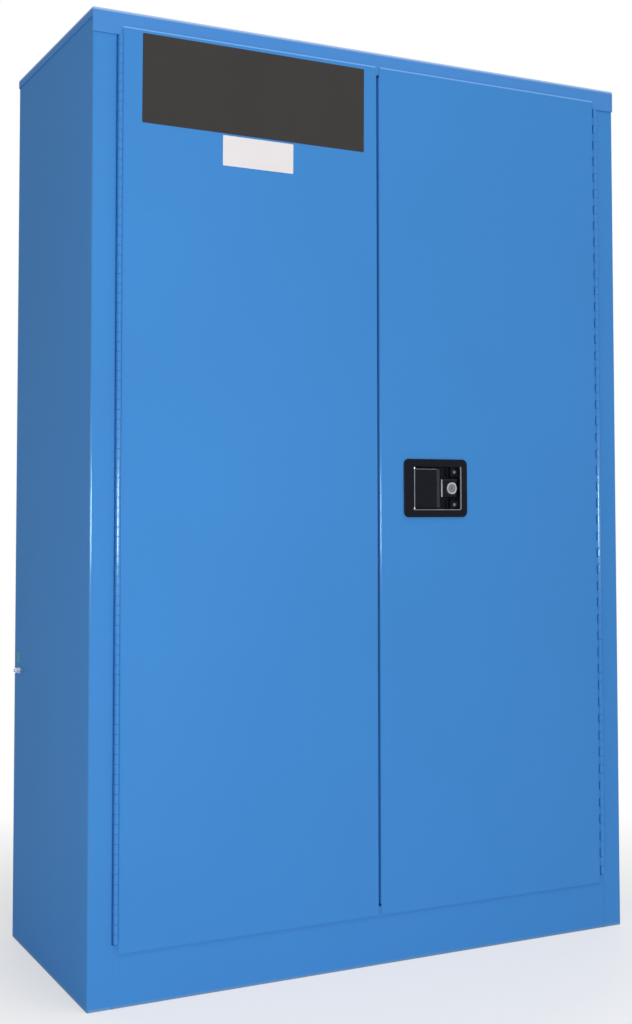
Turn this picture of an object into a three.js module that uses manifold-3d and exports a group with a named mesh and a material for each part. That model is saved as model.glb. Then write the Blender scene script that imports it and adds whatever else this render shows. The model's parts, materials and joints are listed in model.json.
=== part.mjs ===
// Two-door steel safety storage cabinet with double walls, continuous hinges and a three-point
// paddle latch. Millimetres, +Z up, the front faces -Y, and the origin is on the floor under
// the middle of the shell.

import * as THREE from 'three';
import { mergeVertices } from 'three/addons/utils/BufferGeometryUtils.js';
import Module from 'manifold-3d';

const wasm = await Module();
wasm.setup();

// Overall size of the shell
const cabinetWidth = 1092;
const cabinetDepth = 457;
const cabinetHeight = 1651;

// Sheet metal
const sheet = 1.2;
const doorSheet = 1.5;
const bendRadius = 1.6;
const bendSteps = 3;
const seam = 0.3;
const overrun = 5;

// Shell and walls
const capBandHeight = 41.5;
const capFlange = 16;
const wallSpace = 39;
const postReturn = 33;
const rearReturn = 20;
const linerFlange = 15;
const baseFlange = 22;
const sillHeight = 103;
const sillShelf = 50;
const sumpFloor = 51;

// Continuous hinges
const barrelRadius = 4;
const pinRadius = 1.5;
const pinSides = 6;
const pinFit = 0.4;
const knuckleSides = 8;
const knuckleLength = 48.5;
const knuckleGap = 0.4;
const leafSheet = 1.2;
const leafWidth = 28;
const leafNotch = 0.5;
const hingeEndGap = 1;

// Doors
const lipOverlap = 15;
const lipGap = 1;
const doorThickness = 38;
const doorGap = 4.4;
const doorEndGap = 4;

// Flush handle, placed from the right door's free edge
const handleHeight = 851;
const handleSetback = 117.5;
const bezelWidth = 137;
const bezelHeight = 107;
const bezelCorner = 10;
const bezelProud = 3;
const bezelBorder = 14.5;
const bezelPinBorder = 19.5;
const dishDepth = 26;
const dishWall = 2;
const dishCorner = 4;
const dishFit = 0.5;
const screwPadWidth = 14;
const screwPadHeight = 17;
const screwPadRecess = 12;

// Paddle
const paddleSheet = 3;
const paddleHubRadius = 3;
const paddlePinRadius = 1.5;
const paddleReach = 57.3;
const paddleBevel = 11;
const paddleDrop = 5;
const paddleLip = 6;
const paddleEndGap = 3.6;
const paddleSideGap = 1;
const runningFit = 0.3;

// Lock
const lockBlockWidth = 34;
const lockBlockHeight = 33;
const lockBlockGap = 1;
const lockBlockRecess = 2;
const lockSetback = 12.6;
const lockRadius = 11;
const lockSides = 24;
const lockProud = 1.5;
const lockTail = 4;
const plugRadius = 7;
const plugRecess = 0.5;
const keySlotLength = 8;
const keySlotWidth = 1.6;
const keySlotDepth = 3;
const camLength = 20;
const camWidth = 10;
const camSheet = 2;

// Three-point latch behind the dish
const wheelSetback = 19.5;
const wheelRadius = 29;
const wheelSheet = 3;
const wheelTurn = 45;
const wheelSides = 24;
const crankRadius = 22;
const crankPinRadius = 3;
const crankPinSides = 12;
const hubRadius = 5;
const latchGap = 0.5;
const latchBarWidth = 12;
const latchBarThickness = 4;
const latchEnd = 5.5;
const latchStandoff = 2;
const strikeFit = 2;
const guideSheet = 1.2;
const guideFit = 0.8;
const guideHeight = 24;
const guideFlange = 9;
const guideSetback = 60;

// Left door's surface bolts
const edgeBoltSetback = 40;
const edgeBoltWidth = 12;
const edgeBoltThickness = 5;
const edgeBoltLength = 120;
const edgeBoltKnobRadius = 5;
const edgeBoltKnobReach = 8;
const edgeBoltKnobSetback = 88;
const edgeGuideSetback = 42;

// Shelf standards and clips
const standardWidth = 20;
const standardDepth = 8;
const standardBottom = 165;
const standardTop = 1575;
const standardInset = 50;
const slotSpacing = 50;
const slotWidth = 4;
const slotHeight = 14;
const clipWidth = 12;
const clipReach = 13;
const clipHeight = 16;
const clipSheet = 2.4;
const clipTabWidth = 3.4;
const clipTabHeight = 10;
const clipTabReach = 4;

// Shelves and trays
const shelfSlotNumbers = [8, 18];
const shelfNames = ['lower', 'upper'];
const shelfFlange = 26;
const shelfClearance = 1;
const shelfFrontGap = 12;
const shelfRearGap = 3;
const trayWall = 3;
const trayInset = 6;
const trayHeight = 30;
const sumpTrayHeight = 40;
const sumpTrayInset = 12;

// Vents on the back
const ventInset = 113;
const ventAboveFloor = 235;
const ventBelowTop = 171;
const ventSides = 16;
const ventTubeRadius = 30;
const ventBoreRadius = 25;
const ventFlangeRadius = 42;
const ventFlangeSheet = 3;
const screenSheet = 1.5;
const screenLedge = 2;
const screenSetback = 24;
const ventCapRadius = 34;
const ventCapRim = 4;
const ventCapShank = 12;
const ventCapKeyRadius = 14;
const ventCapKeyReach = 6;
const ventCapKeySides = 6;

// Ground stud on the left side
const studHeight = 508.5;
const studFromBack = 53;
const studRadius = 3;
const studReach = 16;
const studSides = 12;
const nutRadius = 5.8;
const nutThickness = 5;
const nutSides = 6;

// Sizes that follow from the ones above
const shellHalfWidth = cabinetWidth / 2 - sheet - seam;
const shellHalfDepth = cabinetDepth / 2 - sheet - seam;
const shellTop = cabinetHeight - sheet - seam;
const frontFace = -cabinetDepth / 2;
const postFace = -shellHalfDepth;
const linerFace = shellHalfWidth - sheet - wallSpace - sheet;
const postInner = linerFace - seam - sheet;
const openingTop = cabinetHeight - capBandHeight;
const backPanelRear = shellHalfDepth - sheet - seam;
const backPanelFront = backPanelRear - sheet;
const backLinerFace = backPanelFront - wallSpace - sheet;
const innerEdge = frontFace + sillShelf;
const doorFace = frontFace - lipGap - doorSheet;
const leafPlane = barrelRadius * Math.cos(Math.PI / knuckleSides);
const hingeAxis = postInner - seam - leafPlane;
const doorEdge = leafPlane + seam;
const doorFree = hingeAxis - doorGap / 2;
const lipBottom = sillHeight - lipOverlap;
const lipTop = openingTop + lipOverlap;
const doorBottom = sillHeight + doorEndGap;
const doorTop = openingTop - doorEndGap;
const panFace = doorThickness - sheet;
const hingeSpace = openingTop - sillHeight - 2 * hingeEndGap;
const knuckleCount = 2 * Math.floor((hingeSpace / knuckleLength - 1) / 2) + 1;
const hingeLength = knuckleCount * knuckleLength;
const hingeBottom = (openingTop + sillHeight - hingeLength) / 2;
const handleAcross = doorFree - handleSetback;
const recessLow = handleAcross - bezelWidth / 2 + bezelBorder;
const recessHigh = handleAcross + bezelWidth / 2 - bezelPinBorder;
const recessHalf = bezelHeight / 2 - bezelBorder;
const dishBack = dishDepth - bezelProud;
const paddlePinAcross = recessHigh - paddleSideGap - paddleHubRadius;
const paddleFree = paddlePinAcross - paddleReach;
const lockBlockHigh = paddleFree - lockBlockGap;
const lockAcross = lockBlockHigh - lockBlockWidth + lockSetback;
const lockFront = lockBlockRecess - bezelProud - lockProud;
const wheelAcross = handleAcross + wheelSetback;
const wheelFront = dishBack + latchGap;
const latchFront = wheelFront + wheelSheet + latchGap;
const latchBack = latchFront + latchBarThickness;
const halfTurn = THREE.MathUtils.degToRad(wheelTurn / 2);
const crankRise = crankRadius * Math.sin(halfTurn);
const crankMiddle = crankRadius * (1 + Math.cos(halfTurn)) / 2;
const crankSway = crankRadius * (1 - Math.cos(halfTurn)) / 2;
const topRodAcross = wheelAcross + crankMiddle;
const bottomRodAcross = wheelAcross - crankMiddle;
const centreBoltHeight = handleHeight - crankMiddle;
const edgeBoltAcross = doorFree - edgeBoltSetback;
const edgeBoltFront = doorThickness + seam;
const standardFace = linerFace - seam - standardDepth;
const shelfHalf = standardFace - seam - clipSheet - shelfClearance;
const shelfFront = innerEdge + shelfFrontGap;
const shelfRear = backLinerFace - shelfRearGap;

const blue = { color: 0x3c8fdf, roughness: 0.42, metalness: 0 };
const white = { color: 0xe6e8ea, roughness: 0.5, metalness: 0 };
const zinc = { color: 0xb9bcc0, roughness: 0.35, metalness: 0.9 };
const galvanised = { color: 0xa9adb0, roughness: 0.45, metalness: 0.9 };
const black = { color: 0x1c2029, roughness: 0.5, metalness: 0 };
const chrome = { color: 0xd8dadd, roughness: 0.12, metalness: 1 };
const polyethylene = { color: 0xdfe3e4, roughness: 0.6, metalness: 0 };
const brass = { color: 0xb08d4a, roughness: 0.35, metalness: 0.9 };

// Geometry helpers

function toSolid(geometry) {
  const bare = geometry.clone();
  bare.deleteAttribute('normal');
  bare.deleteAttribute('uv');
  const merged = mergeVertices(bare);
  return new wasm.Manifold(new wasm.Mesh({
    numProp: 3,
    vertProperties: new Float32Array(merged.attributes.position.array),
    triVerts: new Uint32Array(merged.index.array),
  }));
}

function toGeometry(solid) {
  const mesh = solid.getMesh();
  const geometry = new THREE.BufferGeometry();
  geometry.setAttribute('position', new THREE.BufferAttribute(new Float32Array(mesh.vertProperties), 3));
  geometry.setIndex(new THREE.BufferAttribute(new Uint32Array(mesh.triVerts), 1));
  geometry.computeVertexNormals();
  return geometry;
}

function joined(solids) {
  return solids.reduce((sum, solid) => sum.add(solid));
}

function part(name, solid, finish) {
  const mesh = new THREE.Mesh(toGeometry(solid), new THREE.MeshStandardMaterial(finish));
  mesh.name = name;
  return mesh;
}

// The same piece for the other hand, mirrored in the plane x = 0 of its group
function mirroredPart(name, original) {
  const geometry = original.geometry.clone();
  geometry.scale(-1, 1, 1);
  const index = geometry.index.array;
  for (let i = 0; i < index.length; i += 3) {
    [index[i], index[i + 1]] = [index[i + 1], index[i]];
  }
  const mesh = new THREE.Mesh(geometry, original.material.clone());
  mesh.name = name;
  mesh.position.copy(original.position);
  mesh.position.x *= -1;
  return mesh;
}

function box(x0, x1, y0, y1, z0, z1) {
  const geometry = new THREE.BoxGeometry(x1 - x0, y1 - y0, z1 - z0);
  geometry.translate((x0 + x1) / 2, (y0 + y1) / 2, (z0 + z1) / 2);
  return toSolid(geometry);
}

function extruded(shape, length, basis) {
  const settings = { depth: length, bevelEnabled: false, curveSegments: bendSteps };
  const geometry = new THREE.ExtrudeGeometry(shape, settings);
  geometry.applyMatrix4(basis);
  return geometry;
}

// A plan outline (x, y) carried up from z0 to z1
function upright(shape, z0, z1) {
  const geometry = extruded(shape, z1 - z0, new THREE.Matrix4());
  geometry.translate(0, 0, z0);
  return toSolid(geometry);
}

// A side outline (y, z) carried across from x0 to x1
function across(shape, x0, x1) {
  const alongY = new THREE.Vector3(0, 1, 0);
  const alongZ = new THREE.Vector3(0, 0, 1);
  const alongX = new THREE.Vector3(1, 0, 0);
  const geometry = extruded(shape, x1 - x0, new THREE.Matrix4().makeBasis(alongY, alongZ, alongX));
  geometry.translate(x0, 0, 0);
  return toSolid(geometry);
}

// A front outline (x, z) carried back from y0 to y1
function backward(shape, y0, y1) {
  const alongX = new THREE.Vector3(1, 0, 0);
  const alongZ = new THREE.Vector3(0, 0, 1);
  const forward = new THREE.Vector3(0, -1, 0);
  const geometry = extruded(shape, y1 - y0, new THREE.Matrix4().makeBasis(alongX, alongZ, forward));
  geometry.translate(0, y1, 0);
  return toSolid(geometry);
}

// A round bar along Y, a flat of its facets square to X and Z
function bar(radius, sides, x, z, y0, y1) {
  const geometry = new THREE.CylinderGeometry(radius, radius, y1 - y0, sides);
  geometry.rotateY(Math.PI / sides);
  geometry.translate(x, (y0 + y1) / 2, z);
  return toSolid(geometry);
}

// A round bar along Z
function post(radius, sides, x, y, z0, z1) {
  const geometry = new THREE.CylinderGeometry(radius, radius, z1 - z0, sides);
  geometry.rotateY(Math.PI / sides);
  geometry.rotateX(Math.PI / 2);
  geometry.translate(x, y, (z0 + z1) / 2);
  return toSolid(geometry);
}

function roundedRectangle(a0, a1, b0, b1, r) {
  const quarter = Math.PI / 2;
  const shape = new THREE.Shape();
  shape.absarc(a1 - r, b0 + r, r, -quarter, 0);
  shape.absarc(a1 - r, b1 - r, r, 0, quarter);
  shape.absarc(a0 + r, b1 - r, r, quarter, 2 * quarter);
  shape.absarc(a0 + r, b0 + r, r, 2 * quarter, 3 * quarter);
  return shape;
}

// The outline of bent sheet: the thickness lies on the left of the path, and every corner of
// the path is a bend with the same inner radius
function bentSheet(path, thickness) {
  const points = path.map(([a, b]) => new THREE.Vector2(a, b));
  const faces = { near: [], far: [] };
  addEnd(points[0], points[1].clone().sub(points[0]), thickness, faces);
  for (let i = 1; i < points.length - 1; i += 1) {
    addBend(points[i - 1], points[i], points[i + 1], thickness, faces);
  }
  const last = points.at(-1);
  addEnd(last, last.clone().sub(points.at(-2)), thickness, faces);
  return new THREE.Shape([...faces.near, ...faces.far.reverse()]);
}

function addEnd(point, direction, thickness, faces) {
  const run = direction.clone().normalize();
  faces.near.push(point.clone());
  faces.far.push(point.clone().addScaledVector(new THREE.Vector2(-run.y, run.x), thickness));
}

function addBend(before, corner, after, thickness, faces) {
  const arriving = corner.clone().sub(before).normalize();
  const leaving = after.clone().sub(corner).normalize();
  const turn = Math.atan2(arriving.cross(leaving), arriving.dot(leaving));
  const side = Math.sign(turn);
  const nearRadius = side > 0 ? bendRadius + thickness : bendRadius;
  const farRadius = side > 0 ? bendRadius : bendRadius + thickness;
  const inward = new THREE.Vector2(-arriving.y, arriving.x).multiplyScalar(side);
  const start = corner.clone().addScaledVector(arriving, -nearRadius * Math.tan(Math.abs(turn) / 2));
  const centre = start.clone().addScaledVector(inward, nearRadius);
  for (let step = 0; step <= bendSteps; step += 1) {
    const spoke = inward.clone().negate().rotateAround(new THREE.Vector2(), turn * step / bendSteps);
    faces.near.push(centre.clone().addScaledVector(spoke, nearRadius));
    faces.far.push(centre.clone().addScaledVector(spoke, farRadius));
  }
}

// A tray with rounded upright edges, open at the top
function tray(x0, x1, y0, y1, z0, z1, wall) {
  const outer = upright(roundedRectangle(x0, x1, y0, y1, bendRadius + wall), z0, z1);
  const hollow = roundedRectangle(x0 + wall, x1 - wall, y0 + wall, y1 - wall, bendRadius);
  return outer.subtract(upright(hollow, z0 + wall, z1 + overrun));
}

// A lid with rounded upright edges, open at the bottom
function lid(x0, x1, y0, y1, z0, z1, wall) {
  const outer = upright(roundedRectangle(x0, x1, y0, y1, bendRadius + wall), z0, z1);
  const hollow = roundedRectangle(x0 + wall, x1 - wall, y0 + wall, y1 - wall, bendRadius);
  return outer.subtract(upright(hollow, z0 - overrun, z1 - wall));
}

// Outer shell

function topCap() {
  const half = cabinetWidth / 2;
  const pan = lid(-half, half, frontFace, -frontFace, openingTop, cabinetHeight, sheet);
  const belowFlange = box(-half - overrun, half + overrun, frontFace + sheet, overrun - frontFace,
    openingTop - overrun, cabinetHeight - capFlange);
  return part('top_cap', pan.subtract(belowFlange), blue);
}

// One sheet makes the side, the front post with its return into the opening, and the rear return
function leftSidePanel() {
  const path = [
    [rearReturn - shellHalfWidth, shellHalfDepth],
    [-shellHalfWidth, shellHalfDepth],
    [-shellHalfWidth, postFace],
    [-postInner, postFace],
    [-postInner, postFace + postReturn],
  ];
  return part('left_side_panel', upright(bentSheet(path, sheet), 0, shellTop), blue);
}

function backPanel() {
  const half = shellHalfWidth - sheet - bendRadius;
  const panel = box(-half, half, backPanelFront, backPanelRear, 0, shellTop);
  return part('back_panel', panel.subtract(ventHoles(backPanelFront, backPanelRear)), blue);
}

function frontSill() {
  const path = [
    [postFace + postReturn, 0],
    [frontFace, 0],
    [frontFace, sillHeight],
    [innerEdge, sillHeight],
  ].reverse();
  const half = postInner - seam;
  const channel = across(bentSheet(path, sheet), -half, half);
  return part('front_sill', channel.subtract(strikeHoles(sillHeight)), blue);
}

function basePan() {
  const half = shellHalfWidth - sheet - seam;
  const path = [[-half, baseFlange], [-half, 0], [half, 0], [half, baseFlange]];
  const front = postFace + postReturn + seam;
  return part('base_pan', backward(bentSheet(path, sheet), front, backPanelFront - seam), blue);
}

function headerChannel() {
  const path = [
    [postFace, shellTop],
    [postFace, openingTop],
    [innerEdge, openingTop],
    [innerEdge, shellTop],
  ];
  const half = postInner - seam;
  const channel = across(bentSheet(path, sheet), -half, half);
  return part('header_channel', channel.subtract(strikeHoles(openingTop)), blue);
}

// Holes for the latch rods and the surface bolts, in the sheet at one height
function strikeHoles(height) {
  const rodHalf = latchBarWidth / 2 + strikeFit;
  const rodY = doorFace + (latchFront + latchBack) / 2;
  const rodDeep = latchBarThickness / 2 + strikeFit;
  const rodAcross = height > handleHeight ? topRodAcross : bottomRodAcross;
  const rodX = hingeAxis - rodAcross;
  const boltHalf = edgeBoltWidth / 2 + strikeFit;
  const boltY = doorFace + edgeBoltFront + edgeBoltThickness / 2;
  const boltDeep = edgeBoltThickness / 2 + strikeFit;
  const boltX = edgeBoltAcross - hingeAxis;
  const z0 = height - overrun;
  const z1 = height + overrun;
  return joined([
    box(rodX - rodHalf, rodX + rodHalf, rodY - rodDeep, rodY + rodDeep, z0, z1),
    box(boltX - boltHalf, boltX + boltHalf, boltY - boltDeep, boltY + boltDeep, z0, z1),
  ]);
}

// Inner walls

function leftLiner() {
  const rear = backPanelFront - seam;
  const path = [
    [-linerFace, postFace + sheet + bendRadius],
    [-linerFace, rear],
    [-linerFace - linerFlange, rear],
  ];
  return part('left_liner', upright(bentSheet(path, sheet), sheet + seam, shellTop), white);
}

function backLiner() {
  const half = linerFace - seam;
  const rear = backPanelFront - seam;
  const path = [[-half, rear], [-half, backLinerFace], [half, backLinerFace], [half, rear]];
  const liner = upright(bentSheet(path, sheet), sheet + seam, shellTop);
  return part('back_liner', liner.subtract(ventHoles(backLinerFace, backLinerFace + sheet)), white);
}

function topLiner() {
  const half = linerFace - seam;
  const rise = openingTop + linerFlange;
  const path = [[-half, rise], [-half, openingTop], [half, openingTop], [half, rise]];
  return part('top_liner', backward(bentSheet(path, sheet), innerEdge + seam, backLinerFace - seam), white);
}

function sumpPan() {
  const half = linerFace - seam;
  const front = innerEdge + seam;
  const rear = backLinerFace - seam;
  return part('sump_pan', tray(-half, half, front, rear, sumpFloor, sillHeight, sheet), white);
}

// Continuous hinges, in the left door's frame: x from the pin towards the free edge, y inwards

function knuckleBottom(number) {
  return hingeBottom + number * knuckleLength + knuckleGap / 2;
}

function leafSection(x0, x1, bore) {
  const length = knuckleLength - knuckleGap;
  const barrel = post(barrelRadius, knuckleSides, 0, 0, 0, length);
  const strap = box(x0, x1, 0, leafWidth, 0, length);
  const section = barrel.add(strap);
  if (!bore) {
    return section;
  }
  return section.subtract(post(pinRadius + pinFit, knuckleSides, 0, 0, -overrun, length + overrun));
}

function leaf(x0, x1, firstKnuckle, bore) {
  const sections = [box(x0, x1, barrelRadius + leafNotch, leafWidth, hingeBottom, hingeBottom + hingeLength)];
  const section = leafSection(x0, x1, bore);
  for (let number = firstKnuckle; number < knuckleCount; number += 2) {
    sections.push(section.translate([0, 0, knuckleBottom(number)]));
  }
  return joined(sections);
}

// The pin is staked into the frame leaf's end knuckles, so both are one solid
function frameLeaf() {
  const plate = leaf(-leafPlane, leafSheet - leafPlane, 0, false);
  const pin = post(pinRadius, pinSides, 0, 0, knuckleBottom(0), knuckleBottom(knuckleCount) - knuckleGap);
  return part('left_frame_leaf', plate.add(pin), blue);
}

function doorLeaf() {
  return part('left_door_leaf', leaf(leafPlane - leafSheet, leafPlane, 1, true), blue);
}

// Doors, in the left door's frame

// The face runs past the flanges at the top and bottom, and makes the overlapping lips
function doorSkin() {
  const path = [
    [doorEdge, doorThickness],
    [doorEdge, 0],
    [doorFree, 0],
    [doorFree, doorThickness],
  ];
  const folded = upright(bentSheet(path, doorSheet), lipBottom, lipTop);
  const left = -overrun;
  const right = doorFree + overrun;
  const deep = doorThickness + overrun;
  const belowDoor = box(left, right, doorSheet, deep, lipBottom - overrun, doorBottom);
  const aboveDoor = box(left, right, doorSheet, deep, doorTop, lipTop + overrun);
  return folded.subtract(belowDoor).subtract(aboveDoor);
}

function doorPan() {
  const front = doorSheet + bendRadius;
  const path = [
    [front, doorBottom],
    [doorThickness, doorBottom],
    [doorThickness, doorTop],
    [front, doorTop],
  ];
  return across(bentSheet(path, sheet), doorEdge + doorSheet + seam, doorFree - doorSheet - seam);
}

// The centre bolt's slot through a door's free edge
function centreBoltSlot(fit) {
  const half = latchBarWidth / 2 + fit;
  return box(doorFree - overrun, doorFree + overrun, latchFront - fit, latchBack + fit,
    centreBoltHeight - half, centreBoltHeight + half);
}

function leftDoorSkin() {
  return part('left_door_skin', doorSkin().subtract(centreBoltSlot(strikeFit)), blue);
}

function leftDoorPan() {
  return part('left_door_pan', doorPan(), blue);
}

function rightDoorSkin() {
  const cutout = box(recessLow - dishWall - dishFit, recessHigh + dishWall + dishFit, -overrun, overrun,
    handleHeight - recessHalf - dishWall - dishFit, handleHeight + recessHalf + dishWall + dishFit);
  return part('', doorSkin().subtract(cutout).subtract(centreBoltSlot(latchGap)), blue);
}

function rightDoorPan() {
  const half = latchBarWidth / 2 + latchGap;
  const holes = [[topRodAcross, doorTop], [bottomRodAcross, doorBottom]].map(([x, z]) => (
    box(x - half, x + half, latchFront - latchGap, latchBack + latchGap, z - overrun, z + overrun)));
  return part('', doorPan().subtract(joined(holes)), blue);
}

// A strap over a sliding bar: flanges at the base, a bridge over the bar
function guide(centre, halfBar, base, bridge, z0, z1) {
  const way = Math.sign(bridge - base);
  const inner = halfBar + guideFit;
  const outer = inner + guideFlange;
  const path = [
    [centre - way * outer, base],
    [centre - way * inner, base],
    [centre - way * inner, bridge],
    [centre + way * inner, bridge],
    [centre + way * inner, base],
    [centre + way * outer, base],
  ];
  return upright(bentSheet(path, guideSheet), z0, z1);
}

function edgeBoltGuide(name, z0) {
  const bridge = edgeBoltFront + edgeBoltThickness + latchGap;
  const solid = guide(edgeBoltAcross, edgeBoltWidth / 2, doorThickness + seam, bridge, z0, z0 + guideHeight);
  return part(name, solid, zinc);
}

// A flat bolt on the door's inner face, stored drawn, with its tail in the direction given
function edgeBolt(name, tip, tail) {
  const half = edgeBoltWidth / 2;
  const ends = [tip, tip + tail * edgeBoltLength];
  const low = Math.min(...ends);
  const high = Math.max(...ends);
  const knobHeight = tip + tail * edgeBoltKnobSetback;
  const back = edgeBoltFront + edgeBoltThickness;
  const flat = box(edgeBoltAcross - half, edgeBoltAcross + half, edgeBoltFront, back, low, high);
  const knob = bar(edgeBoltKnobRadius, crankPinSides, edgeBoltAcross, knobHeight, edgeBoltFront + seam,
    back + edgeBoltKnobReach);
  return part(name, flat.add(knob), zinc);
}

// Flush handle, in the left door's frame and mirrored onto the right door

// Pads in the corners beside the lock, for the screws that hold the dish
function screwPads() {
  const front = screwPadRecess - bezelProud;
  const x0 = recessLow - dishWall / 2;
  const x1 = recessLow + screwPadWidth;
  const low = handleHeight - recessHalf;
  const high = handleHeight + recessHalf;
  const lowPad = box(x0, x1, front, dishBack, low, low + screwPadHeight);
  const highPad = box(x0, x1, front, dishBack, high - screwPadHeight, high);
  return lowPad.add(highPad);
}

function handleDish() {
  const z0 = handleHeight - bezelHeight / 2;
  const z1 = handleHeight + bezelHeight / 2;
  const x0 = handleAcross - bezelWidth / 2;
  const x1 = handleAcross + bezelWidth / 2;
  const bezel = backward(roundedRectangle(x0, x1, z0, z1, bezelCorner), -bezelProud, -seam);
  const tubShape = roundedRectangle(recessLow - dishWall, recessHigh + dishWall,
    handleHeight - recessHalf - dishWall, handleHeight + recessHalf + dishWall, dishCorner);
  const tub = backward(tubShape, -bezelProud, dishBack);
  const recessShape = roundedRectangle(recessLow, recessHigh, handleHeight - recessHalf,
    handleHeight + recessHalf, dishCorner - dishWall);
  const recess = backward(recessShape, -bezelProud - overrun, dishBack - dishWall);
  const block = box(lockBlockHigh - lockBlockWidth, lockBlockHigh, lockBlockRecess - bezelProud, dishBack,
    handleHeight - lockBlockHeight / 2, handleHeight + lockBlockHeight / 2);
  const bore = bar(lockRadius + runningFit, lockSides, lockAcross, handleHeight, -bezelProud - overrun,
    dishBack + overrun);
  const hub = bar(hubRadius, crankPinSides, wheelAcross, handleHeight, dishBack - dishWall,
    latchFront - latchGap / 2);
  const dish = bezel.add(tub).subtract(recess).add(screwPads()).add(block);
  return part('', dish.subtract(bore).add(hub), black);
}

function paddle() {
  const front = -bezelProud;
  const path = [
    [paddleFree, front + paddleDrop + paddleLip],
    [paddleFree, front + paddleDrop],
    [paddleFree + paddleBevel, front],
    [paddlePinAcross, front],
  ];
  const half = recessHalf - paddleEndGap;
  const z0 = handleHeight - half;
  const z1 = handleHeight + half;
  const hubY = front + paddleHubRadius;
  const plate = upright(bentSheet(path, paddleSheet), z0, z1);
  const hub = post(paddleHubRadius, crankPinSides, paddlePinAcross, hubY, z0, z1);
  const boreRadius = paddlePinRadius + runningFit;
  const bore = post(boreRadius, crankPinSides, paddlePinAcross, hubY, z0 - overrun, z1 + overrun);
  return part('', plate.add(hub).subtract(bore), black);
}

function paddlePin() {
  const half = recessHalf - seam;
  const hubY = paddleHubRadius - bezelProud;
  const z0 = handleHeight - half;
  const z1 = handleHeight + half;
  return part('', post(paddlePinRadius, crankPinSides, paddlePinAcross, hubY, z0, z1), zinc);
}

function lockBarrel() {
  const back = dishBack + lockTail;
  const sleeve = bar(lockRadius, lockSides, lockAcross, handleHeight, lockFront, back);
  const bore = bar(plugRadius + runningFit, lockSides, lockAcross, handleHeight, lockFront - overrun,
    back + overrun);
  return part('', sleeve.subtract(bore), chrome);
}

function lockPlug() {
  const front = lockFront + plugRecess;
  const camFront = dishBack + lockTail + latchGap;
  const plug = bar(plugRadius, lockSides, lockAcross, handleHeight, front, camFront + camSheet);
  const cam = box(lockAcross - camWidth / 2, lockAcross + camWidth / 2, camFront, camFront + camSheet,
    handleHeight - camLength, handleHeight);
  const slot = box(lockAcross - keySlotWidth / 2, lockAcross + keySlotWidth / 2, front - overrun,
    front + keySlotDepth, handleHeight - keySlotLength / 2, handleHeight + keySlotLength / 2);
  return part('', plug.add(cam).subtract(slot), chrome);
}

// Three-point latch, in the left door's frame and mirrored onto the right door

function crankPin(x, z) {
  return bar(crankPinRadius, crankPinSides, x, z, wheelFront, latchBack + latchGap);
}

// The top rod hangs from the crank nearest the free edge, the bottom rod from the opposite one
// and the centre bolt from the lowest one. All three end just short of their strikes, so that
// each door can be opened by itself.
function latchWheel() {
  const swing = crankRadius * Math.cos(halfTurn);
  const disc = bar(wheelRadius, wheelSides, wheelAcross, handleHeight, wheelFront, wheelFront + wheelSheet);
  const bore = bar(hubRadius + runningFit, crankPinSides, wheelAcross, handleHeight, dishBack, latchFront);
  const pins = joined([
    crankPin(wheelAcross + swing, handleHeight + crankRise),
    crankPin(wheelAcross - swing, handleHeight - crankRise),
    crankPin(wheelAcross + crankRise, handleHeight - swing),
  ]);
  return part('', disc.add(pins).subtract(bore), zinc);
}

// A slot across the bar, long enough for the crank pin's sway
function crankSlot(x, z, halfX, halfZ) {
  return box(x - halfX, x + halfX, latchFront - overrun, latchBack + overrun, z - halfZ, z + halfZ);
}

function latchRod(x, pinHeight, tip, tail) {
  const ends = [tip, pinHeight - tail * latchEnd];
  const half = latchBarWidth / 2;
  const flat = box(x - half, x + half, latchFront, latchBack, Math.min(...ends), Math.max(...ends));
  const play = crankPinRadius + runningFit;
  return part('', flat.subtract(crankSlot(x, pinHeight, play + crankSway, play)), zinc);
}

function centreBolt() {
  const pinAcross = wheelAcross + crankRise;
  const half = latchBarWidth / 2;
  const tip = doorFree + doorGap - latchStandoff;
  const flat = box(pinAcross - latchEnd, tip, latchFront, latchBack,
    centreBoltHeight - half, centreBoltHeight + half);
  const play = crankPinRadius + runningFit;
  return part('', flat.subtract(crankSlot(pinAcross, centreBoltHeight, play, play + crankSway)), zinc);
}

function rodGuide(x, z0) {
  const half = latchBarWidth / 2;
  const bridge = latchFront - latchGap;
  return part('', guide(x, half, panFace - seam, bridge, z0, z0 + guideHeight), zinc);
}

// Shelf standards, clips, shelves and trays

function slotHeightAt(number) {
  return standardBottom + number * slotSpacing;
}

function shelfStandard(name, y) {
  const back = -linerFace + seam;
  const path = [
    [back, y - standardWidth / 2],
    [-standardFace, y - standardWidth / 2],
    [-standardFace, y + standardWidth / 2],
    [back, y + standardWidth / 2],
  ];
  const channel = upright(bentSheet(path, sheet), standardBottom, standardTop);
  const slots = [];
  for (let number = 1; slotHeightAt(number) < standardTop - slotHeight; number += 1) {
    const z = slotHeightAt(number);
    slots.push(box(-standardFace - overrun, overrun - standardFace, y - slotWidth / 2, y + slotWidth / 2,
      z - slotHeight / 2, z + slotHeight / 2));
  }
  return part(name, channel.subtract(joined(slots)), galvanised);
}

// An angle whose tab goes through a slot, built about that slot's middle on the standard's face
function shelfClip(name, x, y, number) {
  const low = -clipHeight / 2;
  const shape = bentSheet([[seam, clipHeight / 2], [seam, low], [clipReach, low]], clipSheet);
  const angle = backward(shape, -clipWidth / 2, clipWidth / 2);
  const tab = box(-clipTabReach, seam + clipSheet / 2, -clipTabWidth / 2, clipTabWidth / 2,
    -clipTabHeight / 2, clipTabHeight / 2);
  const clip = part(name, angle.add(tab), zinc);
  clip.position.set(x, y, slotHeightAt(number));
  return clip;
}

function shelfBottom(number) {
  return slotHeightAt(number) - clipHeight / 2 + clipSheet + seam;
}

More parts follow.
